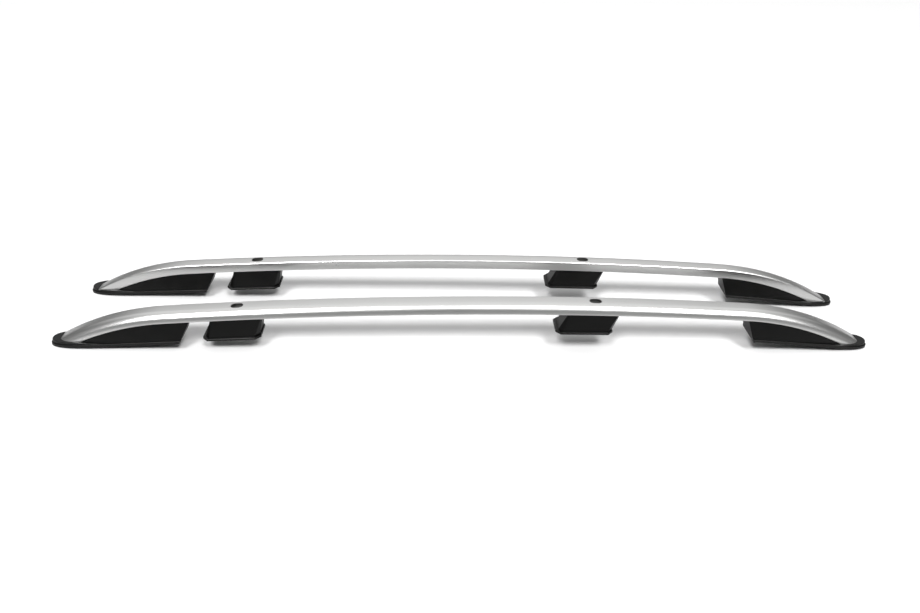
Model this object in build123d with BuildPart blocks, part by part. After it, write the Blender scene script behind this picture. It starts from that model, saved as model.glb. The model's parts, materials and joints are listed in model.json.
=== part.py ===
from build123d import *
import math
import os

# Pair of roof side rails for a van. The rails lie along X with the front end at -X, the left rail at -Y
# and the floor at Z 0. The left rail is drawn, and the right one is its mirror image.

# Rail line, seen from the side
rail_length = 2000.0  # over the noses of the end feet
rail_spacing = 227.0  # between the two rails' middles
toe_angle = 0.65  # each rail runs in by this much towards the rear
crown_offset = 117.0  # highest point of the bar, behind the middle of the rail
crown_height = 96.8  # underside of the bar at that point
front_crown_radius = 11740.0  # underside of the bar, ahead of the crown
rear_crown_radius = 10330.0  # underside of the bar, behind the crown
front_bend_radius = 570.0  # underside of the bar where it turns down to the roof
rear_bend_radius = 616.0

# Car roof that the feet are shaped to, seen from the side
roof_crown_offset = 260.0  # highest point of the roof, behind the middle of the rail
roof_rise = 46.0  # from the roof under the rail's ends to that point

# Bar, a hollow extrusion with a round outer shoulder
bar_width = 48.0
bar_height = 25.3
bar_wall = 2.2
outer_shoulder_radius = 20.5
inner_shoulder_radius = 4.0
slot_length = 30.0  # access slot in the top, over each roof bolt
slot_width = 20.0

# Fits
seat_gap = 0.2  # between the bar and the mouldings it seats in
seat_lap = 1.5  # mouldings are drawn this far up past the bar's underside, then cut to it
hole_gap = 0.3  # round a screw, in radius
head_gap = 0.3  # under a screw's head, because the wall there curves

# Moulded feet
foot_wall = 3.0
foot_top_wall = 4.0  # under the bar
rib_thickness = 2.5
draft_angle = 14.5  # lean of the side walls, from the upright
seat_inset = 1.0  # side walls start this far inside the bar's sides
flange_height = 5.0

# End feet
front_end_foot_length = 342.0  # nose to inner wall, along the bar
rear_end_foot_length = 317.5
front_end_wall_lean = 26.5  # inner wall, from the upright
rear_end_wall_lean = 18.0
nose_length = 120.0  # bullet-shaped nose, in plan
nose_half_width = 34.0  # flange, where the nose starts
base_half_width = 38.0  # flange, at the inner wall
nose_side_fullness = 0.75  # share of the nose's length before its sides turn in
nose_tip_fullness = 0.65  # share of the nose's half width before its tip turns back
rim_width = 25.5  # nose ahead of the bar's tip
collar_top = 16.0  # level top of the collar round the bar's tip, above the floor
collar_side_step = 2.0  # collar stands back from the flange by this much at the sides
collar_tip_step = 4.0  # and by this much at the tip
socket_depth = 2.0  # bar's cut end below the top of the collar
solid_nose = 112.0  # length of the nose left solid
rib_pitch = 48.0
gasket_thickness = 2.0
gasket_width = 9.0

# Middle feet
front_mid_foot_setback = 455.0  # roof bolt behind the front nose
rear_mid_foot_setback = 690.5  # roof bolt ahead of the rear nose
mid_pad_room = 4.0  # left under a middle foot for a pad
mid_base_length = 134.5
mid_base_width = 70.0
mid_base_chamfer = 12.0
mid_flange_lip = 2.0  # flange stands out from the side walls by this much
mid_top_length = 124.0
mid_top_chamfer = 4.0
front_mid_top_lead = -2.0  # middle of the top, ahead of the roof bolt
rear_mid_top_lead = 5.0
front_mid_base_lead = 14.5  # middle of the base, ahead of the roof bolt
rear_mid_base_lead = 25.5
bolt_line_inset = 4.0  # roof bolts, from the bar's middle towards the other rail
bolt_hole_radius = 3.3
bolt_boss_width = 16.0
mid_rib_reach = 40.0  # cross ribs, from the roof bolt

# Self-tapping screws that hold the feet to the bar from below
screw_radius = 2.1
screw_head_radius = 4.5  # over the corners of the hex head
screw_head_height = 2.8
screw_bite = 7.0  # shank above the bar's underside
end_screw_setback = 74.0  # from the inner wall of an end foot
mid_screw_reach = 24.0  # from the roof bolt, towards the end of the rail

# Worked out from the sizes above
wall_half_width = bar_width / 2 - seat_inset
run_out = bar_height / 2  # bends are drawn this far below the floor, then cut
far_out = rail_length  # past everything
half_breadth = bar_width + rail_spacing / 4  # past the side of every foot
toe = math.radians(toe_angle)
rail_frame = Plane((0, -rail_spacing / 2, 0), x_dir=(math.cos(toe), math.sin(toe), 0))
rail_plane = Plane(rail_frame.origin, x_dir=rail_frame.x_dir, z_dir=-rail_frame.y_dir)


def rail_vector(x, y, z):
    """Direction given along the rail, across it and up."""
    return rail_frame.x_dir * x + rail_frame.y_dir * y + rail_frame.z_dir * z


def arc_drop(run, radius):
    """Fall of an arc at a distance run from its crown."""
    return radius - math.sqrt(radius**2 - run**2)


def end_turns(reach, crown_radius, bend_radius):
    """Turns in degrees of the crown arc and the end bend that bring the bar's tip into the nose."""
    tip_run = reach - rim_width
    crown_centre_z = crown_height - crown_radius
    centre_link = crown_radius - bend_radius
    top_radius = bend_radius + bar_height
    sight = math.hypot(tip_run, collar_top - crown_centre_z)
    sight_turn = math.atan2(tip_run, collar_top - crown_centre_z)
    cosine = (centre_link**2 + sight**2 - top_radius**2) / (2 * centre_link * sight)
    crown_turn = sight_turn - math.acos(cosine)
    bend_centre_z = crown_centre_z + centre_link * math.cos(crown_turn)
    end_turn = math.acos((-run_out - bend_centre_z) / top_radius)
    return math.degrees(crown_turn), math.degrees(end_turn - crown_turn)


class End:
    """One end of the rail: way is -1 at the front and 1 at the rear. Runs are from the crown."""

    def __init__(self, way, crown_radius, bend_radius):
        self.way = way
        self.reach = rail_length / 2 - way * crown_offset
        self.crown_radius = crown_radius
        self.bend_radius = bend_radius
        self.crown_turn, self.bend_turn = end_turns(self.reach, crown_radius, bend_radius)
        self.roof_reach = rail_length / 2 - way * roof_crown_offset
        self.roof_radius = (self.roof_reach**2 + roof_rise**2) / (2 * roof_rise)

    def place_feet(self, foot_length, wall_lean, mid_setback, mid_top_lead, mid_base_lead):
        self.foot_run = self.reach - foot_length
        self.wall_lean = wall_lean
        self.mid_run = self.reach - mid_setback
        self.mid_roof_run = self.roof_reach - mid_setback
        self.mid_top_lead = mid_top_lead
        self.mid_base_lead = mid_base_lead


front = End(-1, front_crown_radius, front_bend_radius)
front.place_feet(
    front_end_foot_length,
    front_end_wall_lean,
    front_mid_foot_setback,
    front_mid_top_lead,
    front_mid_base_lead,
)
rear = End(1, rear_crown_radius, rear_bend_radius)
rear.place_feet(
    rear_end_foot_length,
    rear_end_wall_lean,
    rear_mid_foot_setback,
    rear_mid_top_lead,
    rear_mid_base_lead,
)
ends = (front, rear)


def arch_half(end, lift):
    """Draw the underside of the bar from the crown to one end, moved up square to itself by lift."""
    start = (crown_offset, crown_height + lift)
    crown = JernArc(start, (end.way, 0), end.crown_radius + lift, -end.way * end.crown_turn)
    bend = JernArc(crown @ 1, crown % 1, end.bend_radius + lift, -end.way * end.bend_turn)
    return bend @ 1


def roof_half(end, lift):
    """Draw the roof line from the crown past one end, moved up square to itself by lift."""
    radius = end.roof_radius + lift
    turn = math.degrees(math.asin((end.roof_reach + rim_width) / radius))
    arc = JernArc((roof_crown_offset, roof_rise + lift), (end.way, 0), radius, -end.way * turn)
    return arc @ 1


def common(first, *others):
    """Solid that all the given solids share."""
    with BuildPart() as shared:
        add(first)
        for other in others:
            add(other, mode=Mode.INTERSECT)
    return shared.part


def roof_band(bottom, top):
    """Slab that follows the roof line, between two heights above it."""
    with BuildPart() as band:
        with BuildSketch(rail_plane):
            with BuildLine():
                lower = [roof_half(end, bottom) for end in ends]
                upper = [roof_half(end, top) for end in ends]
                for low, high in zip(lower, upper):
                    Line(low, high)
            make_face()
        extrude(amount=half_breadth, both=True)
    return band.part


def ridge(half_width, lift):
    """Body under the whole bar: half_width to each side at the bar, and wider below by the draft."""
    with BuildPart() as body:
        with BuildSketch(rail_plane):
            with BuildLine():
                tips = [arch_half(end, lift) for end in ends]
                depth = -crown_height
                Polyline(tips[0], (tips[0].X, depth), (tips[1].X, depth), tips[1])
            make_face()
        extrude(amount=half_width, both=True)
        walls = body.faces().filter_by(rail_plane).sort_by(Axis(rail_frame.origin, rail_frame.y_dir))
        for wall, way in ((walls[0], -1), (walls[-1], 1)):
            fall = rail_vector(0, way * math.tan(math.radians(draft_angle)), -1)
            extrude(wall, amount=crown_height * fall.length, dir=fall)
    return body.part


def bar_section(grow):
    """Section of the bar, grown all round by grow: X is towards its outer side and Y is up."""
    with BuildSketch() as section:
        with Locations((0, -grow)):
            Rectangle(bar_width + 2 * grow, bar_height + 2 * grow, align=(Align.CENTER, Align.MIN))
        outer = section.vertices().group_by(Axis.Y)[-1].sort_by(Axis.X)[-1]
        fillet(outer, outer_shoulder_radius + grow)
        inner = section.vertices().group_by(Axis.Y)[-1].sort_by(Axis.X)[0]
        fillet(inner, inner_shoulder_radius + grow)
    return section.sketch


def hollow_section():
    """Section of the hollow in the bar, one wall's thickness inside its section."""
    with BuildSketch() as section:
        with Locations((0, bar_wall)):
            Rectangle(bar_width - 2 * bar_wall, bar_height - 2 * bar_wall, align=(Align.CENTER, Align.MIN))
        outer = section.vertices().group_by(Axis.Y)[-1].sort_by(Axis.X)[-1]
        fillet(outer, outer_shoulder_radius - bar_wall)
    return section.sketch


def along_bar(section):
    """Solid of a section along the whole line of the bar."""
    crown = rail_frame.from_local_coords(Vector(crown_offset, 0, crown_height))
    section_plane = Plane(crown, x_dir=-rail_frame.y_dir, z_dir=-rail_frame.x_dir)
    with BuildPart() as form:
        for end in ends:
            with BuildLine(rail_plane) as path:
                arch_half(end, 0)
            with BuildSketch(section_plane):
                add(section)
            sweep(path=path.wire())
    return form.part


def end_span(end, inset, stop):
    """Everything outward of an end foot's inner wall, moved out by inset, as far as stop from the crown."""
    top_z = crown_height - arc_drop(end.foot_run, end.crown_radius)
    lean = math.tan(math.radians(end.wall_lean))
    with BuildPart() as span:
        with BuildSketch(rail_plane):
            with BuildLine():
                high = Vector(crown_offset + end.way * (end.foot_run + inset), top_z)
                low = high + Vector(end.way * lean, -1) * 2 * crown_height
                high -= Vector(end.way * lean, -1) * crown_height
                stop_x = crown_offset + end.way * stop
                Polyline(high, (stop_x, high.Y), (stop_x, low.Y), low, close=True)
            make_face()
        extrude(amount=half_breadth, both=True)
    return span.part


def foot_plan(end, tip_inset, side_inset, top):
    """Outline of an end foot in plan, cut back by the two insets, as an upright prism up to top."""
    back_x = crown_offset + end.way * end.foot_run
    root_x = crown_offset + end.way * (end.reach - nose_length)
    tip_x = crown_offset + end.way * (end.reach - tip_inset)
    with BuildPart() as prism:
        with BuildSketch(rail_frame.offset(top)):
            with BuildLine():
                for side in (-1, 1):
                    back = (back_x, side * (base_half_width - side_inset))
                    root = (root_x, side * (nose_half_width - side_inset))
                    shoulder = (root_x + nose_side_fullness * (tip_x - root_x), root[1])
                    Line((back_x, 0), back)
                    Line(back, root)
                    Bezier(root, shoulder, (tip_x, nose_tip_fullness * root[1]), (tip_x, 0))
            make_face()
        extrude(amount=-top - crown_height)
    return prism.part


def bar_limits(grow):
    """Block that the bar's ends are cut to: level below and upright at the tips, grown by grow."""
    tip_to_tip = rail_length - 2 * rim_width
    with BuildPart() as block:
        with BuildSketch(rail_frame.offset(collar_top - socket_depth - grow)):
            Rectangle(tip_to_tip + 2 * grow, 2 * half_breadth)
        extrude(amount=far_out)
    return block.part


def under_bar(end, run):
    """Plane on the bar's underside, at a distance run from the crown along it, with Z into the bar."""
    with BuildLine(rail_plane) as path:
        start = (crown_offset, crown_height)
        crown = JernArc(start, (end.way, 0), end.crown_radius, -end.way * end.crown_turn)
        bend = JernArc(crown @ 1, crown % 1, end.bend_radius, -end.way * end.bend_turn)
    arc = crown if run < crown.length else bend
    share = run / crown.length if run < crown.length else (run - crown.length) / bend.length
    along = arc % share
    return Plane(arc @ share, x_dir=along * end.way, z_dir=(along * end.way).cross(rail_frame.y_dir))


def mid_plane(end):
    """Plane of a middle foot's base, at the roof bolt, with X along the rail and Z up."""
    slope = end.way * math.asin(end.mid_roof_run / end.roof_radius)
    base_radius = end.roof_radius + mid_pad_room
    base_x = roof_crown_offset + base_radius * math.sin(slope)
    base_z = roof_rise - end.roof_radius + base_radius * math.cos(slope)
    return Plane(
        rail_frame.from_local_coords(Vector(base_x, 0, base_z)),
        x_dir=rail_vector(math.cos(slope), 0, -math.sin(slope)),
        z_dir=rail_vector(math.sin(slope), 0, math.cos(slope)),
    )


def mid_height(end):
    """Height of a middle foot, from its base to the bar."""
    roof_z = roof_rise - arc_drop(end.mid_roof_run, end.roof_radius)
    return crown_height - arc_drop(end.mid_run, end.crown_radius) - roof_z - mid_pad_room


def end_screw_plane(end):
    return under_bar(end, end.foot_run + end_screw_setback)


def mid_screw_plane(end):
    return under_bar(end, end.mid_run + mid_screw_reach)


bar_form = common(along_bar(bar_section(0)), bar_limits(0))
bar_hollow = along_bar(hollow_section())
bar_envelope = common(along_bar(bar_section(seat_gap)), bar_limits(seat_gap))
above_gasket = roof_band(gasket_thickness, far_out)
flange_band = roof_band(gasket_thickness, gasket_thickness + flange_height)
gasket_band = roof_band(0, gasket_thickness)
side_ridge = ridge(wall_half_width, 0)
cavity_ridge = ridge(wall_half_width - foot_wall, -foot_top_wall)

os.makedirs("parts", exist_ok=True)


def write_pair(left, name):
    """Write a piece of the left rail, and its mirror image on the right rail."""
    left.part.label = f"left_{name}"
    export_step(left.part, f"parts/{left.part.label}.step")
    with BuildPart() as right:
        mirror(left.part, about=Plane.XZ)
    right.part.label = f"right_{name}"
    export_step(right.part, f"parts/{right.part.label}.step")


def screw(plane):
    """Hex-head screw up through a foot's top wall, which is below the plane."""
    with BuildPart() as one:
        with BuildSketch(plane.offset(-foot_top_wall - head_gap)):
            Circle(screw_radius)
        extrude(amount=foot_top_wall + head_gap + screw_bite)
        with BuildSketch(plane.offset(-foot_top_wall - head_gap)):
            RegularPolygon(screw_head_radius, 6)
        extrude(amount=-screw_head_height)
    return one


def screw_hole(plane):
    """Clearance hole for a screw, through a foot's top wall and the bar's underside."""
    with BuildPart() as hole:
        with BuildSketch(plane.offset(-foot_top_wall - bar_wall)):
            Circle(screw_radius + hole_gap)
        extrude(amount=foot_top_wall + bar_height / 2)
    return hole.part


def outline(plane, middle_x, length, width, cut):
    """Corners of a rectangle with its corners cut off, on a plane."""
    x = length / 2
    y = width / 2
    quarter = ((x, y - cut), (x - cut, y))
    half = quarter + tuple((-u, v) for u, v in reversed(quarter))
    whole = half + tuple((u, -v) for u, v in reversed(half))
    return [plane.from_local_coords(Vector(middle_x + u, v, 0)) for u, v in whole]


def frustum(lower, upper):
    """Solid with flat sides between two outlines that have the same number of corners."""
    corners = list(zip(lower, upper))
    sides = [(a, b, d, c) for (a, c), (b, d) in zip(corners, corners[1:] + corners[:1])]
    return Solid(Shell([Face(Wire.make_polygon(loop)) for loop in (lower, upper, *sides)]))


# Rail bar
with BuildPart() as bar:
    add(bar_form)
    add(bar_hollow, mode=Mode.SUBTRACT)
    for end in ends:
        bolt_plane = mid_plane(end)
        underside = mid_height(end)
        with BuildSketch(bolt_plane.offset(underside + bar_height / 2)):
            with Locations((0, bolt_line_inset)):
                SlotOverall(slot_length, slot_width)
        extrude(amount=bar_height, mode=Mode.SUBTRACT)
        with BuildSketch(bolt_plane.offset(underside - bar_height / 2)):
            with Locations((0, bolt_line_inset)):
                Circle(bolt_hole_radius)
        extrude(amount=bar_height, mode=Mode.SUBTRACT)
        add(screw_hole(end_screw_plane(end)), mode=Mode.SUBTRACT)
        add(screw_hole(mid_screw_plane(end)), mode=Mode.SUBTRACT)
write_pair(bar, "rail_bar")

# End feet, with a gasket and a screw for each
for end, name in ((front, "front"), (rear, "rear")):
    span = end_span(end, 0, far_out)
    cavity = common(cavity_ridge, end_span(end, foot_wall, end.reach - solid_nose), above_gasket)
    with BuildPart() as ribs:
        with BuildSketch(rail_frame):
            rib_count = int((end.reach - solid_nose - end.foot_run) / rib_pitch)
            for i in range(1, rib_count + 1):
                with Locations((crown_offset + end.way * (end.foot_run + i * rib_pitch), 0)):
                    Rectangle(rib_thickness, 2 * half_breadth)
        extrude(amount=crown_height)
        add(cavity, mode=Mode.INTERSECT)
    with BuildPart() as end_foot:
        add(common(side_ridge, span, above_gasket))
        add(common(foot_plan(end, 0, 0, crown_height), span, flange_band))
        add(common(foot_plan(end, collar_tip_step, collar_side_step, collar_top), span, above_gasket))
        add(bar_envelope, mode=Mode.SUBTRACT)
        add(cavity, mode=Mode.SUBTRACT)
        add(ribs.part)
        add(screw_hole(end_screw_plane(end)), mode=Mode.SUBTRACT)
    write_pair(end_foot, f"{name}_end_foot")
    with BuildPart() as gasket:
        add(common(foot_plan(end, 0, 0, crown_height), span, gasket_band))
        opening = end_span(end, gasket_width, end.reach - nose_length)
        add(common(foot_plan(end, 0, gasket_width, crown_height), opening), mode=Mode.SUBTRACT)
    write_pair(gasket, f"{name}_end_gasket")
    write_pair(screw(end_screw_plane(end)), f"{name}_end_screw")

# Middle feet, with a screw for each
for end, name in ((front, "front"), (rear, "rear")):
    base_plane = mid_plane(end)
    height = mid_height(end)
    base_x = -end.mid_base_lead
    top_x = -end.mid_top_lead
    ceiling = base_plane.offset(height - foot_top_wall)
    seat = base_plane.offset(height + seat_lap)
    cavity_length = mid_base_length - 2 * foot_wall
    cavity_width = mid_base_width - 2 * foot_wall
    ceiling_length = mid_top_length - 2 * foot_wall
    ceiling_width = 2 * (wall_half_width - foot_wall)
    mid_cavity = frustum(
        outline(base_plane, base_x, cavity_length, cavity_width, mid_base_chamfer),
        outline(ceiling, top_x, ceiling_length, ceiling_width, mid_top_chamfer),
    )
    with BuildPart() as mid_ribs:
        with BuildSketch(base_plane):
            with Locations((-mid_rib_reach, 0), (0, 0), (mid_rib_reach, 0)):
                Rectangle(rib_thickness, mid_base_width)
            with Locations((0, bolt_line_inset)):
                Rectangle(bolt_boss_width, bolt_boss_width)
        extrude(amount=height)
        add(mid_cavity, mode=Mode.INTERSECT)
    with BuildPart() as mid_foot:
        add(
            frustum(
                outline(base_plane, base_x, mid_base_length, mid_base_width, mid_base_chamfer),
                outline(seat, top_x, mid_top_length, 2 * wall_half_width, mid_top_chamfer),
            )
        )
        with BuildSketch(base_plane) as flange:
            with Locations((base_x, 0)):
                Rectangle(mid_base_length + 2 * mid_flange_lip, mid_base_width + 2 * mid_flange_lip)
            chamfer(flange.vertices(), mid_base_chamfer)
        extrude(amount=flange_height)
        add(bar_envelope, mode=Mode.SUBTRACT)
        add(mid_cavity, mode=Mode.SUBTRACT)
        add(mid_ribs.part)
        with BuildSketch(base_plane):
            with Locations((0, bolt_line_inset)):
                Circle(bolt_hole_radius)
        extrude(amount=height + bar_height, mode=Mode.SUBTRACT)
        add(screw_hole(mid_screw_plane(end)), mode=Mode.SUBTRACT)
    write_pair(mid_foot, f"{name}_mid_foot")
    write_pair(screw(mid_screw_plane(end)), f"{name}_mid_screw")
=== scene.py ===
import json
import math

import bmesh
import bpy
from mathutils import Matrix, Vector
from mathutils.bvhtree import BVHTree


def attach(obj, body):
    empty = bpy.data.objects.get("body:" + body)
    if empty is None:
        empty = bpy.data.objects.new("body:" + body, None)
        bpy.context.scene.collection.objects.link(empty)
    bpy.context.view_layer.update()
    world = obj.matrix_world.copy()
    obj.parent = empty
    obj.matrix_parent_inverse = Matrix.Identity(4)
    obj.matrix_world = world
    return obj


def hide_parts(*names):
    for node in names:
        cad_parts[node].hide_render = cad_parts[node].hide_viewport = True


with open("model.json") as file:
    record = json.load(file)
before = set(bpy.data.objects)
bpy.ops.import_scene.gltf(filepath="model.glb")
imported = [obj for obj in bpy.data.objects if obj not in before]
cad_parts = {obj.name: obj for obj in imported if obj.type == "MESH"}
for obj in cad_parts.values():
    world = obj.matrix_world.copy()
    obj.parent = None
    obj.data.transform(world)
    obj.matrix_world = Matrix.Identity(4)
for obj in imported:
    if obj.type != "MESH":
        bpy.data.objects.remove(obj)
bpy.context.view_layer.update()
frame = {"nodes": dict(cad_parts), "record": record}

# Camera, read from the photograph's perspective. Angles are in degrees and places in metres.
LENS_MM = 29.916
SENSOR_MM = 36.0
CAMERA_PLACE = Vector((-0.05697, -1.67108, 1.06355))
CAMERA_PITCH = 31.584
CAMERA_YAW = 1.518
CAMERA_ROLL = 1.390
CAMERA_SIGHT = 100.0  # how far it sees

# Rail bars, the same sizes as the solid ones, in metres and degrees
RAIL_LENGTH = 2.0
RAIL_SPACING = 0.227
TOE_ANGLE = 0.65
CROWN_X = 0.117
CROWN_Z = 0.0968
CROWN_RADIUS = {-1: 11.74, 1: 10.33}  # front, rear
BEND_RADIUS = {-1: 0.570, 1: 0.616}
BAR_WIDTH = 0.048
BAR_HEIGHT = 0.0253
BAR_WALL = 0.0022
OUTER_SHOULDER = 0.0205
INNER_SHOULDER = 0.004
LOWER_EDGE = 0.0024
RIM_WIDTH = 0.0255  # foot ahead of the bar's tip
COLLAR_TOP = 0.016
SOCKET_DEPTH = 0.002
BEND_RUN_OUT = BAR_HEIGHT / 2
SLOT_LENGTH = 0.030
SLOT_WIDTH = 0.020
ROOF_BOLT_INSET = 0.004
ROOF_BOLT_HOLE = 0.0033
SCREW_HOLE = 0.0024
ROOF_BOLT_RUN = {-1: 0.662, 1: 0.1925}  # from the crown, along the bar
SCREW_RUNS = {-1: (0.686, 0.849), 1: (0.2165, 0.6395)}

# How finely the bars are drawn
CROWN_STEPS = 30
BEND_STEPS = 36
OUTER_SHOULDER_STEPS = 28
INNER_SHOULDER_STEPS = 8
LOWER_EDGE_STEPS = 4
HOLE_STEPS = 48
SEAM_GAP = 1e-6  # points of the bar's two halves that lie nearer are one

# Feet
MOULDED_EDGE = 0.0012  # rounding of a moulding's open edges
MOULDED_CORNER = 0.0008  # and of its upright corners
EDGE_STEPS = 3
UPRIGHT_SHARE = 0.7  # an edge that rises by more of its length than this is upright
DOWNWARD_LIMIT = -0.3  # an edge that faces further down than this is left sharp
LIP_WIDTH = 0.0020  # how much further in a middle foot's walls stand on its flange
BAR_ROOM = 0.0008  # an edge this near the bar is left sharp
MERGE_GAP = 1e-5
FLAT_ANGLE = math.radians(1)  # facets that turn by less are one face
EDGE_ANGLE = math.radians(30)  # faces that turn by more meet in a sharp edge

# Finishes: a pair is the two ends of a range, and a pair of colours goes from dark to light
NOISE_RANGE = (0.25, 0.75)  # where most of a noise's values lie
CLOUD_NOISE = {"Detail": 4.0, "Roughness": 0.55}
GRAIN_NOISE = {"Detail": 3.0, "Roughness": 0.6}
GRAIN_PEBBLES = {"Smoothness": 0.6}
DIE_LINES = {"Scale": 1.0, "Detail": 3.0, "Roughness": 0.6}
DIE_LINE_STRETCH = (0.8, 700.0, 25.0)
DIE_LINE_BUMP = {"Strength": 0.08, "Distance": 0.0002}
SATIN_COLOURS = ((0.80, 0.80, 0.79, 1), (0.86, 0.86, 0.85, 1))
SATIN_CLOUD_SCALE = 9.0
SATIN_LINE_ROUGHNESS = (0.13, 0.165)
SATIN_CLOUD_ROUGHNESS = (0.13, 0.155)
# painted shade: the inside of the bar is coloured darker than its outside, for the shade in the hollow
# and in the slots
INSIDE_SHADE_COLOURS = ((0.24, 0.24, 0.235, 1), (0.40, 0.40, 0.39, 1))
DULL_CLOUD_SCALE = 60.0
DULL_ROUGHNESS = (0.55, 0.70)
DULL_METALLIC = 0.7
MOULDING_COLOURS = ((0.0015, 0.0015, 0.0014, 1), (0.003, 0.003, 0.0028, 1))
MOULDING_CLOUD_SCALE = 22.0
MOULDING_ROUGHNESS = (0.28, 0.36)
MOULDING_SPECULAR = 0.35
MOULDING_GRAIN_SCALE = 1100.0
MOULDING_BUMP = {"Strength": 0.12, "Distance": 0.0003}
RUBBER_COLOURS = ((0.002, 0.002, 0.002, 1), (0.004, 0.004, 0.004, 1))
RUBBER_CLOUD_SCALE = 40.0
RUBBER_ROUGHNESS = (0.72, 0.86)
RUBBER_GRAIN_SCALE = 500.0
RUBBER_BUMP = {"Strength": 0.15, "Distance": 0.0004}
ZINC_COLOURS = ((0.50, 0.51, 0.53, 1), (0.66, 0.67, 0.68, 1))
ZINC_CLOUD_SCALE = 160.0
ZINC_ROUGHNESS = (0.30, 0.42)

# Studio
FLOOR_SIZE = 24.0
FLOOR_WHITE = (0.93, 0.93, 0.93, 1.0)
FLOOR_ROUGHNESS = 0.9
FLOOR_SPECULAR = 0.1
PAINTED_DIM_REFLECTION = (0.215, 0.215, 0.215, 1.0)  # painted reflection: the colour the floor shows in the gloss of the rails near the camera, darker than it is
PAINTED_PALE_REFLECTION = (0.55, 0.55, 0.55, 1.0)  # and the paler painted reflection behind them
PAINTED_REFLECTION_REACH = (-0.31, -0.21)  # from front to back
LEFT_SWING = -28.0  # degrees to the side
RIGHT_SWING = 32.5
LAMP_DISTANCE = 30.0
LAMP_LENGTH = 8.5
KEY_HEIGHT = 53.0  # degrees above the floor, on the camera's side
KEY_DEPTH = 10.0
KEY_GLOW = 19.0
REFLECTOR_HEIGHT = 33.0
REFLECTOR_DEPTH = 11.0
REFLECTOR_GLOW = 7.0
SKY_LOW = 0.12
SKY_HIGH = 0.82
SKY_PEAK = (0.0, 0.5, 0.866)
SKY_REACH = (0.56, 0.89)
ROOM_WHITE = 1.0  # how pale the room looks behind the floor


def place_node(tree, kind, inputs=None, **settings):
    """Add a shader node, with settings on the node and values on its input sockets."""
    new = tree.nodes.new(kind)
    for name, value in settings.items():
        setattr(new, name, value)
    for name, value in (inputs or {}).items():
        new.inputs[name].default_value = value
    return new


def effect_group(name, inputs, outputs):
    """Start a node group: returns it with its input and output nodes."""
    group = bpy.data.node_groups.new(name, "ShaderNodeTree")
    for label, value in inputs.items():
        socket = group.interface.new_socket(label, in_out="INPUT", socket_type="NodeSocketFloat")
        socket.default_value = value
    for label in outputs:
        group.interface.new_socket(label, in_out="OUTPUT", socket_type="NodeSocketFloat")
    return group, group.nodes.new("NodeGroupInput"), group.nodes.new("NodeGroupOutput")


def cloudiness_group():
    """Broad soft patches, as handling and uneven finishing leave on any surface."""
    group, given, result = effect_group("cloudiness", {"Scale": MOULDING_CLOUD_SCALE}, ["Value"])
    place = place_node(group, "ShaderNodeTexCoord")
    noise = place_node(group, "ShaderNodeTexNoise", CLOUD_NOISE)
    group.links.new(place.outputs["Object"], noise.inputs["Vector"])
    group.links.new(given.outputs["Scale"], noise.inputs["Scale"])
    group.links.new(noise.outputs["Fac"], result.inputs["Value"])
    return group


def grain_group():
    """Fine pebbled grain of a moulding tool's sparked surface."""
    group, given, result = effect_group("moulded_grain", {"Scale": MOULDING_GRAIN_SCALE}, ["Height"])
    place = place_node(group, "ShaderNodeTexCoord")
    pebbles = place_node(group, "ShaderNodeTexVoronoi", GRAIN_PEBBLES, feature="SMOOTH_F1")
    fine = place_node(group, "ShaderNodeTexNoise", GRAIN_NOISE)
    both = place_node(group, "ShaderNodeMath", operation="ADD")
    for texture in (pebbles, fine):
        group.links.new(place.outputs["Object"], texture.inputs["Vector"])
        group.links.new(given.outputs["Scale"], texture.inputs["Scale"])
    group.links.new(pebbles.outputs["Distance"], both.inputs[0])
    group.links.new(fine.outputs["Fac"], both.inputs[1])
    group.links.new(both.outputs["Value"], result.inputs["Height"])
    return group


CLOUDINESS = cloudiness_group()
GRAIN = grain_group()


def new_material(name):
    """Start a material: returns it with its node tree and its surface node."""
    material = bpy.data.materials.new(name)
    material.use_nodes = True
    return material, material.node_tree, material.node_tree.nodes["Principled BSDF"]


def placed_group(tree, group, **values):
    """Add a node group to a material, with its own values."""
    new = tree.nodes.new("ShaderNodeGroup")
    new.node_tree = group
    for label, value in values.items():
        new.inputs[label].default_value = value
    return new


def ranged(tree, source, low, high):
    """Spread a noise's values between low and high."""
    limits = {
        "From Min": NOISE_RANGE[0], "From Max": NOISE_RANGE[1], "To Min": low, "To Max": high
    }
    spread = place_node(tree, "ShaderNodeMapRange", limits)
    tree.links.new(source, spread.inputs["Value"])
    return spread.outputs["Result"]


def tinted(tree, source, dark, light):
    """Spread a 0 to 1 value between two colours."""
    mix = place_node(tree, "ShaderNodeMix", {"A": dark, "B": light}, data_type="RGBA")
    tree.links.new(source, mix.inputs["Factor"])
    return mix.outputs["Result"]


def clouded(tree, surface, scale, colours):
    """Let a surface's colour drift between two tints: returns the drift, from 0 to 1."""
    clouds = placed_group(tree, CLOUDINESS, Scale=scale).outputs["Value"]
    tree.links.new(tinted(tree, clouds, *colours), surface.inputs["Base Color"])
    return clouds


def bumped(tree, surface, height, values):
    """Raise a surface by a height that changes over it."""
    bump = place_node(tree, "ShaderNodeBump", values)
    tree.links.new(height, bump.inputs["Height"])
    tree.links.new(bump.outputs["Normal"], surface.inputs["Normal"])


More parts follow.
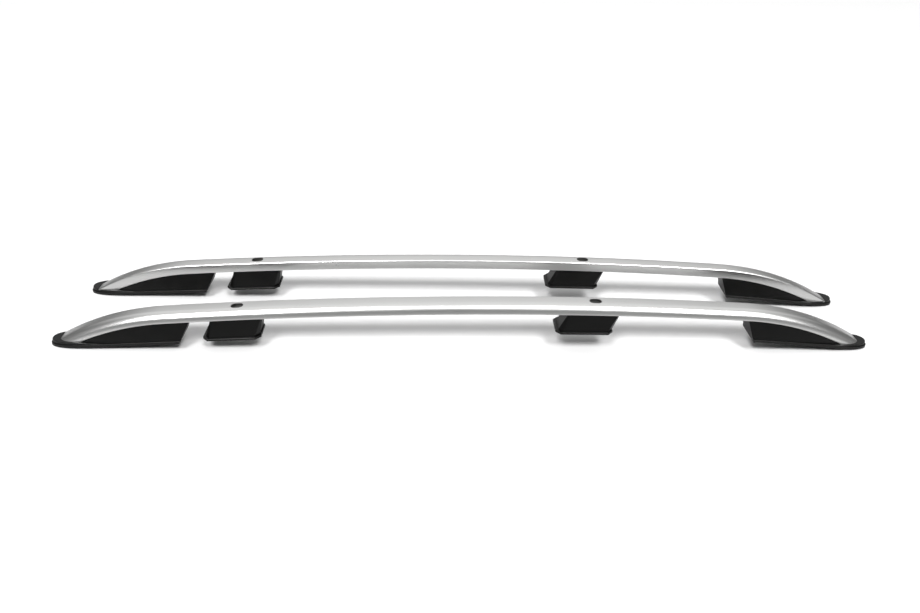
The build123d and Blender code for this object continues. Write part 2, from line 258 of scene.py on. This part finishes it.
def satin_aluminium():
    """Anodised extrusion: a soft metal gloss with faint die lines along the bar."""
    material, tree, surface = new_material("satin_aluminium")
    surface.inputs["Metallic"].default_value = 1.0
    place = place_node(tree, "ShaderNodeTexCoord")
    stretch = place_node(tree, "ShaderNodeMapping", {"Scale": DIE_LINE_STRETCH})
    lines = place_node(tree, "ShaderNodeTexNoise", DIE_LINES)
    tree.links.new(place.outputs["Object"], stretch.inputs["Vector"])
    tree.links.new(stretch.outputs["Vector"], lines.inputs["Vector"])
    clouds = clouded(tree, surface, SATIN_CLOUD_SCALE, SATIN_COLOURS)
    both = place_node(tree, "ShaderNodeMath", operation="ADD")
    tree.links.new(ranged(tree, lines.outputs["Fac"], *SATIN_LINE_ROUGHNESS), both.inputs[0])
    tree.links.new(ranged(tree, clouds, *SATIN_CLOUD_ROUGHNESS), both.inputs[1])
    tree.links.new(both.outputs["Value"], surface.inputs["Roughness"])
    bumped(tree, surface, lines.outputs["Fac"], DIE_LINE_BUMP)
    return material


def shaded_inside_aluminium():
    """Inside of the extrusion: unpolished, with its base colour painted darker than the outside as
    painted shade in the hollow bar.
    """
    material, tree, surface = new_material("shaded_inside_aluminium")
    surface.inputs["Metallic"].default_value = DULL_METALLIC
    clouds = clouded(tree, surface, DULL_CLOUD_SCALE, INSIDE_SHADE_COLOURS)
    tree.links.new(ranged(tree, clouds, *DULL_ROUGHNESS), surface.inputs["Roughness"])
    return material


def black_moulding():
    """Black nylon moulding with a fine satin grain."""
    material, tree, surface = new_material("black_moulding")
    clouds = clouded(tree, surface, MOULDING_CLOUD_SCALE, MOULDING_COLOURS)
    tree.links.new(ranged(tree, clouds, *MOULDING_ROUGHNESS), surface.inputs["Roughness"])
    surface.inputs["Specular IOR Level"].default_value = MOULDING_SPECULAR
    grain = placed_group(tree, GRAIN, Scale=MOULDING_GRAIN_SCALE)
    bumped(tree, surface, grain.outputs["Height"], MOULDING_BUMP)
    return material


def gasket_rubber():
    """Matt black rubber."""
    material, tree, surface = new_material("gasket_rubber")
    clouds = clouded(tree, surface, RUBBER_CLOUD_SCALE, RUBBER_COLOURS)
    tree.links.new(ranged(tree, clouds, *RUBBER_ROUGHNESS), surface.inputs["Roughness"])
    grain = placed_group(tree, GRAIN, Scale=RUBBER_GRAIN_SCALE)
    bumped(tree, surface, grain.outputs["Height"], RUBBER_BUMP)
    return material


def zinc_plate():
    """Bright zinc plating on steel screws."""
    material, tree, surface = new_material("zinc_plate")
    surface.inputs["Metallic"].default_value = 1.0
    clouds = clouded(tree, surface, ZINC_CLOUD_SCALE, ZINC_COLOURS)
    tree.links.new(ranged(tree, clouds, *ZINC_ROUGHNESS), surface.inputs["Roughness"])
    return material


FINISHES = {
    "bar": satin_aluminium(),
    "moulding": black_moulding(),
    "gasket": gasket_rubber(),
    "screw": zinc_plate(),
}
for part in frame["record"]["subparts"]:
    for slot in frame["nodes"][part["node"]].material_slots:
        slot.material = FINISHES[part["material_slot"]]


def end_turns(way):
    """Turns of the crown arc and of the end bend that bring the bar's tip into the foot's nose."""
    tip_run = RAIL_LENGTH / 2 - way * CROWN_X - RIM_WIDTH
    crown_centre_z = CROWN_Z - CROWN_RADIUS[way]
    link = CROWN_RADIUS[way] - BEND_RADIUS[way]
    top_radius = BEND_RADIUS[way] + BAR_HEIGHT
    sight = math.hypot(tip_run, COLLAR_TOP - crown_centre_z)
    cosine = (link**2 + sight**2 - top_radius**2) / (2 * link * sight)
    crown_turn = math.atan2(tip_run, COLLAR_TOP - crown_centre_z) - math.acos(cosine)
    bend_centre_z = crown_centre_z + link * math.cos(crown_turn)
    end_turn = math.acos((-BEND_RUN_OUT - bend_centre_z) / top_radius)
    return crown_turn, end_turn - crown_turn


def arc_centres(way):
    """Centres of the crown arc and of the end bend, in the rail's own upright plane."""
    crown = Vector((CROWN_X, 0, CROWN_Z - CROWN_RADIUS[way]))
    crown_turn, _ = end_turns(way)
    link = CROWN_RADIUS[way] - BEND_RADIUS[way]
    return crown, crown + link * Vector((way * math.sin(crown_turn), 0, math.cos(crown_turn)))


def bar_section(bm):
    """Closed outline of the bar at its crown, with the outer shoulder on the -Y side."""
    start = len(bm.verts)
    half = BAR_WIDTH / 2
    corners = [(-half, 0), (half, 0), (half, BAR_HEIGHT), (-half, BAR_HEIGHT)]
    rounds = (
        (LOWER_EDGE, LOWER_EDGE_STEPS),
        (LOWER_EDGE, LOWER_EDGE_STEPS),
        (INNER_SHOULDER, INNER_SHOULDER_STEPS),
        (OUTER_SHOULDER, OUTER_SHOULDER_STEPS),
    )
    verts = [bm.verts.new((CROWN_X, y, CROWN_Z + z)) for y, z in corners]
    bm.faces.new(verts)
    for vert, (radius, steps) in zip(verts, rounds):
        bmesh.ops.bevel(
            bm, geom=[vert], offset=radius, segments=steps, profile=0.5,
            affect="VERTICES", material=-1,
        )
    bm.verts.ensure_lookup_table()
    outline = bm.verts[start:]
    edges = list({edge for vert in outline for edge in vert.link_edges})
    faces = list({face for vert in outline for face in vert.link_faces})
    bmesh.ops.delete(bm, geom=faces, context="FACES_ONLY")
    return outline + edges


def spun_bar():
    """Outer skin of a whole bar in the rail's own frame: each half is spun down from the crown."""
    bm = bmesh.new()
    for way in (-1, 1):
        ring = bar_section(bm)
        arcs = zip(arc_centres(way), end_turns(way), (CROWN_STEPS, BEND_STEPS))
        for centre, turn, steps in arcs:
            spun = bmesh.ops.spin(
                bm, geom=ring, cent=centre, axis=(0, 1, 0), angle=way * turn, steps=steps
            )
            ring = spun["geom_last"]
    bmesh.ops.remove_doubles(bm, verts=bm.verts[:], dist=SEAM_GAP)
    tip = RAIL_LENGTH / 2 - RIM_WIDTH
    cuts = (
        ((0, 0, COLLAR_TOP - SOCKET_DEPTH), (0, 0, -1)),
        ((tip, 0, 0), (1, 0, 0)),
        ((-tip, 0, 0), (-1, 0, 0)),
    )
    for place, way_out in cuts:
        everything = bm.verts[:] + bm.edges[:] + bm.faces[:]
        bmesh.ops.bisect_plane(
            bm, geom=everything, plane_co=place, plane_no=way_out, clear_outer=True
        )
    bmesh.ops.recalc_face_normals(bm, faces=bm.faces[:])
    return bm


def bar_cutters():
    """Solids that cut the access slots, the roof bolts' holes and the screws' holes."""
    bm = bmesh.new()
    below, inside, above = -BAR_HEIGHT / 2, BAR_HEIGHT / 2, 2 * BAR_HEIGHT
    slot_stretch = SLOT_LENGTH - SLOT_WIDTH
    for way in (-1, 1):
        crown, bend = arc_centres(way)
        crown_turn, _ = end_turns(way)
        crown_run = crown_turn * CROWN_RADIUS[way]
        bolt_run = ROOF_BOLT_RUN[way]
        holes = [
            (bolt_run, SLOT_WIDTH / 2, slot_stretch, inside, above, ROOF_BOLT_INSET),
            (bolt_run, ROOF_BOLT_HOLE, 0, below, inside, ROOF_BOLT_INSET),
        ]
        holes += [(run, SCREW_HOLE, 0, below, inside, 0) for run in SCREW_RUNS[way]]
        for run, radius, stretch, low, high, inset in holes:
            disc = bmesh.ops.create_circle(
                bm, cap_ends=True, segments=HOLE_STEPS, radius=radius
            )["verts"]
            for vert in disc:
                vert.co.x += math.copysign(stretch / 2, vert.co.x)
            bmesh.ops.translate(bm, verts=disc, vec=(CROWN_X, inset, CROWN_Z + low))
            faces = list({face for vert in disc for face in vert.link_faces})
            lifted = bmesh.ops.extrude_face_region(bm, geom=faces)["geom"]
            top = [part for part in lifted if isinstance(part, bmesh.types.BMVert)]
            bmesh.ops.translate(bm, verts=top, vec=(0, 0, high - low))
            turns = (
                (crown, min(run, crown_run) / CROWN_RADIUS[way]),
                (bend, max(run - crown_run, 0) / BEND_RADIUS[way]),
            )
            for centre, turn in turns:
                swing = Matrix.Rotation(way * turn, 3, "Y")
                bmesh.ops.rotate(bm, verts=disc + top, cent=centre, matrix=swing)
    bmesh.ops.recalc_face_normals(bm, faces=bm.faces[:])
    return bm


def new_object(name, bm):
    """Put a finished bmesh in the scene as an object at the origin."""
    mesh = bpy.data.meshes.new(name)
    bm.to_mesh(mesh)
    bm.free()
    piece = bpy.data.objects.new(name, mesh)
    bpy.context.collection.objects.link(piece)
    return piece


def rail_places():
    """Where each rail's own frame lies: the right rail is the mirror image of the left one."""
    toe = Matrix.Rotation(math.radians(TOE_ANGLE), 4, "Z")
    left = Matrix.Translation((0, -RAIL_SPACING / 2, 0)) @ toe
    return {"left": left, "right": Matrix.Scale(-1, 4, (0, 1, 0)) @ left}


def build_bars():
    """Both bars as hollow extrusions: one is made, and the right one is its mirror image."""
    raw = new_object("raw_bar", spun_bar())
    cutter = new_object("bar_cutter", bar_cutters())
    for finish in (FINISHES["bar"], shaded_inside_aluminium()):
        raw.data.materials.append(finish)
    wall = raw.modifiers.new("wall", "SOLIDIFY")
    wall.thickness = BAR_WALL
    wall.offset = -1.0
    wall.material_offset = 1
    cut = raw.modifiers.new("cut", "BOOLEAN")
    cut.operation = "DIFFERENCE"
    cut.object = cutter
    bpy.context.view_layer.update()
    drawn = raw.evaluated_get(bpy.context.evaluated_depsgraph_get())
    finished = bpy.data.meshes.new_from_object(drawn)
    for scrap in (raw, cutter):
        bpy.data.objects.remove(scrap)
    for rail, place in rail_places().items():
        bm = bmesh.new()
        bm.from_mesh(finished)
        bmesh.ops.transform(bm, matrix=place, verts=bm.verts[:])
        if rail == "right":
            bmesh.ops.reverse_faces(bm, faces=bm.faces[:])
        bar = new_object(f"{rail}_bar_extrusion", bm)
        bar.data.shade_smooth()
        bar.data.set_sharp_from_angle(angle=EDGE_ANGLE)
        for finish in finished.materials:
            bar.data.materials.append(finish)
        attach(bar, "root")
        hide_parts(f"{rail}_rail_bar")
    bpy.data.meshes.remove(finished)


def open_edges(bm, place, convex=True):
    """Sharp outer edges of a foot, or its outer creases, clear of the bar and not facing down."""
    bm.normal_update()
    skin = BVHTree.FromBMesh(bm)
    beside = BAR_WIDTH / 2 + BAR_ROOM
    beyond = RAIL_LENGTH / 2 - RIM_WIDTH + BAR_ROOM
    found = []
    for edge in bm.edges:
        middle = (edge.verts[0].co + edge.verts[1].co) / 2
        on_rail = place.inverted() @ middle
        clear = abs(on_rail.y) > beside or abs(on_rail.x) > beyond
        if not clear or edge.is_convex != convex or edge.calc_face_angle(0) < EDGE_ANGLE:
            continue
        outward = (edge.link_faces[0].normal + edge.link_faces[1].normal).normalized()
        if outward.z <= DOWNWARD_LIMIT:
            continue
        if skin.ray_cast(middle + outward * BAR_ROOM, outward)[0] is None:
            found.append(edge)
    return found


def close_gaps(bm):
    """Merge points that lie together, and drop the slivers and the doubled faces this leaves."""
    bmesh.ops.remove_doubles(bm, verts=bm.verts[:], dist=MERGE_GAP)
    bmesh.ops.dissolve_degenerate(bm, edges=bm.edges[:], dist=MERGE_GAP)
    on_same_points = {}
    for face in bm.faces:
        on_same_points.setdefault(frozenset(face.verts), []).append(face)
    doubled = [face for faces in on_same_points.values() if len(faces) > 1 for face in faces]
    bmesh.ops.delete(bm, geom=doubled, context="FACES")


def widen_lip(bm, place):
    """Draw the foot of a middle foot's walls in, so that its flange stands out as a lip."""
    creases = {vert for edge in open_edges(bm, place, convex=False) for vert in edge.verts}
    on_rail = [place.inverted() @ vert.co for vert in creases]
    lengths = [at.x for at in on_rail]
    middle = (min(lengths) + max(lengths)) / 2
    stretch = 1 - 2 * LIP_WIDTH / (max(lengths) - min(lengths))
    squeeze = 1 - LIP_WIDTH / max(abs(at.y) for at in on_rail)
    foot_space = Matrix.Translation((-middle, 0, 0)) @ place.inverted()
    bmesh.ops.scale(bm, vec=(stretch, squeeze, 1), space=foot_space, verts=list(creases))


def ease_edges(bm, place):
    """Round a foot's open edges, the upright corners first."""
    for upright, size in ((True, MOULDED_CORNER), (False, MOULDED_EDGE)):
        eased = []
        for edge in open_edges(bm, place):
            rise = abs(edge.verts[0].co.z - edge.verts[1].co.z)
            if (rise > UPRIGHT_SHARE * edge.calc_length()) == upright:
                eased.append(edge)
        bmesh.ops.bevel(
            bm, geom=eased, offset=size, segments=EDGE_STEPS, profile=0.5,
            affect="EDGES", material=-1,
        )


def build_feet():
    """Feet as moulded: the solid ones with their open edges eased."""
    places = rail_places()
    for part in frame["record"]["subparts"]:
        if part["material_slot"] != "moulding":
            continue
        place = places[part["node"].split("_")[0]]
        bm = bmesh.new()
        bm.from_mesh(frame["nodes"][part["node"]].data)
        close_gaps(bm)
        bmesh.ops.dissolve_limit(
            bm, angle_limit=FLAT_ANGLE, verts=bm.verts[:], edges=bm.edges[:]
        )
        if "mid" in part["node"]:
            widen_lip(bm, place)
        ease_edges(bm, place)
        close_gaps(bm)
        bmesh.ops.triangulate(
            bm, faces=bm.faces[:], quad_method="BEAUTY", ngon_method="BEAUTY"
        )
        close_gaps(bm)
        foot = new_object(f"{part['node']}_moulding", bm)
        foot.data.attributes.remove(foot.data.attributes["custom_normal"])
        foot.data.shade_smooth()
        foot.data.set_sharp_from_angle(angle=EDGE_ANGLE)
        foot.modifiers.new("flat_faces", "WEIGHTED_NORMAL").keep_sharp = True
        foot.data.materials.append(FINISHES["moulding"])
        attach(foot, "root")
        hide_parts(part["node"])


def build_floor():
    """Pale floor with a painted reflection: in the gloss of the rails its colour is painted darker on
    the camera's side of them.
    """
    bpy.ops.mesh.primitive_plane_add(size=FLOOR_SIZE)
    floor = bpy.context.object
    floor.name = "floor"
    material, tree, surface = new_material("floor_white")
    path = place_node(tree, "ShaderNodeLightPath")
    place = place_node(tree, "ShaderNodeTexCoord")
    away = place_node(tree, "ShaderNodeSeparateXYZ")
    limits = {"From Min": PAINTED_REFLECTION_REACH[0], "From Max": PAINTED_REFLECTION_REACH[1]}
    share = place_node(tree, "ShaderNodeMapRange", limits)
    tree.links.new(place.outputs["Object"], away.inputs[0])
    tree.links.new(away.outputs["Y"], share.inputs["Value"])
    # painted reflection: glossy rays see a grey floor, darker towards the camera, while the camera
    # sees it white
    painted_reflection = tinted(tree, share.outputs["Result"], PAINTED_DIM_REFLECTION, PAINTED_PALE_REFLECTION)
    colour = place_node(tree, "ShaderNodeMix", {"A": FLOOR_WHITE}, data_type="RGBA")
    tree.links.new(path.outputs["Is Glossy Ray"], colour.inputs["Factor"])
    tree.links.new(painted_reflection, colour.inputs["B"])
    tree.links.new(colour.outputs["Result"], surface.inputs["Base Color"])
    surface.inputs["Roughness"].default_value = FLOOR_ROUGHNESS
    surface.inputs["Specular IOR Level"].default_value = FLOOR_SPECULAR
    floor.data.materials.append(material)


def build_lamp(name, swing, height, depth, glow):
    """Large lamp in front of the rails and above them, swung to one side, facing the middle."""
    lamp = bpy.data.lights.new(name, "AREA")
    lamp.shape = "RECTANGLE"
    lamp.size = LAMP_LENGTH
    lamp.size_y = depth
    lamp.energy = glow * math.pi * LAMP_LENGTH * depth
    stand = bpy.data.objects.new(name, lamp)
    sideways = Matrix.Rotation(math.radians(swing), 4, "Z")
    tilt = Matrix.Rotation(math.radians(90 - height), 4, "X")
    stand.matrix_world = sideways @ tilt @ Matrix.Translation((0, 0, LAMP_DISTANCE))
    bpy.context.collection.objects.link(stand)
    return stand


def build_lamps():
    """A softbox on each side, and below it a reflector that shows in the gloss alone."""
    for side, swing in (("left", LEFT_SWING), ("right", RIGHT_SWING)):
        build_lamp(f"{side}_softbox", swing, KEY_HEIGHT, KEY_DEPTH, KEY_GLOW)
        reflector = build_lamp(
            f"{side}_reflector", swing, REFLECTOR_HEIGHT, REFLECTOR_DEPTH, REFLECTOR_GLOW
        )
        reflector.visible_diffuse = False


def build_sky():
    """Pale room whose light is a broad glow over the rails and behind them."""
    world = bpy.data.worlds.new("studio")
    world.use_nodes = True
    bpy.context.scene.world = world
    tree = world.node_tree
    way = place_node(tree, "ShaderNodeTexCoord")
    near_peak = place_node(
        tree, "ShaderNodeVectorMath", {1: SKY_PEAK}, operation="DOT_PRODUCT"
    )
    limits = {
        "From Min": SKY_REACH[0], "From Max": SKY_REACH[1], "To Min": SKY_LOW, "To Max": SKY_HIGH
    }
    glow = place_node(tree, "ShaderNodeMapRange", limits)
    tree.links.new(way.outputs["Generated"], near_peak.inputs[0])
    tree.links.new(near_peak.outputs["Value"], glow.inputs["Value"])
    path = place_node(tree, "ShaderNodeLightPath")
    strength = place_node(tree, "ShaderNodeMix", {"B": ROOM_WHITE})
    tree.links.new(path.outputs["Is Camera Ray"], strength.inputs["Factor"])
    tree.links.new(glow.outputs["Result"], strength.inputs["A"])
    backdrop = tree.nodes["Background"]
    tree.links.new(strength.outputs["Result"], backdrop.inputs["Strength"])
    backdrop.inputs["Color"].default_value = (1, 1, 1, 1)


def build_camera():
    """Camera in front of the rails, turned, tipped down and rolled."""
    optics = bpy.data.cameras.new("camera")
    optics.lens = LENS_MM
    optics.sensor_width = SENSOR_MM
    optics.clip_end = CAMERA_SIGHT
    camera = bpy.data.objects.new("camera", optics)
    yaw = Matrix.Rotation(math.radians(-CAMERA_YAW), 4, "Z")
    pitch = Matrix.Rotation(math.radians(90 - CAMERA_PITCH), 4, "X")
    roll = Matrix.Rotation(math.radians(CAMERA_ROLL), 4, "Z")
    camera.matrix_world = Matrix.Translation(CAMERA_PLACE) @ yaw @ pitch @ roll
    bpy.context.collection.objects.link(camera)
    bpy.context.scene.camera = camera


build_bars()
build_feet()
build_floor()
build_lamps()
build_sky()
build_camera()
bpy.context.scene.view_settings.view_transform = "Standard"
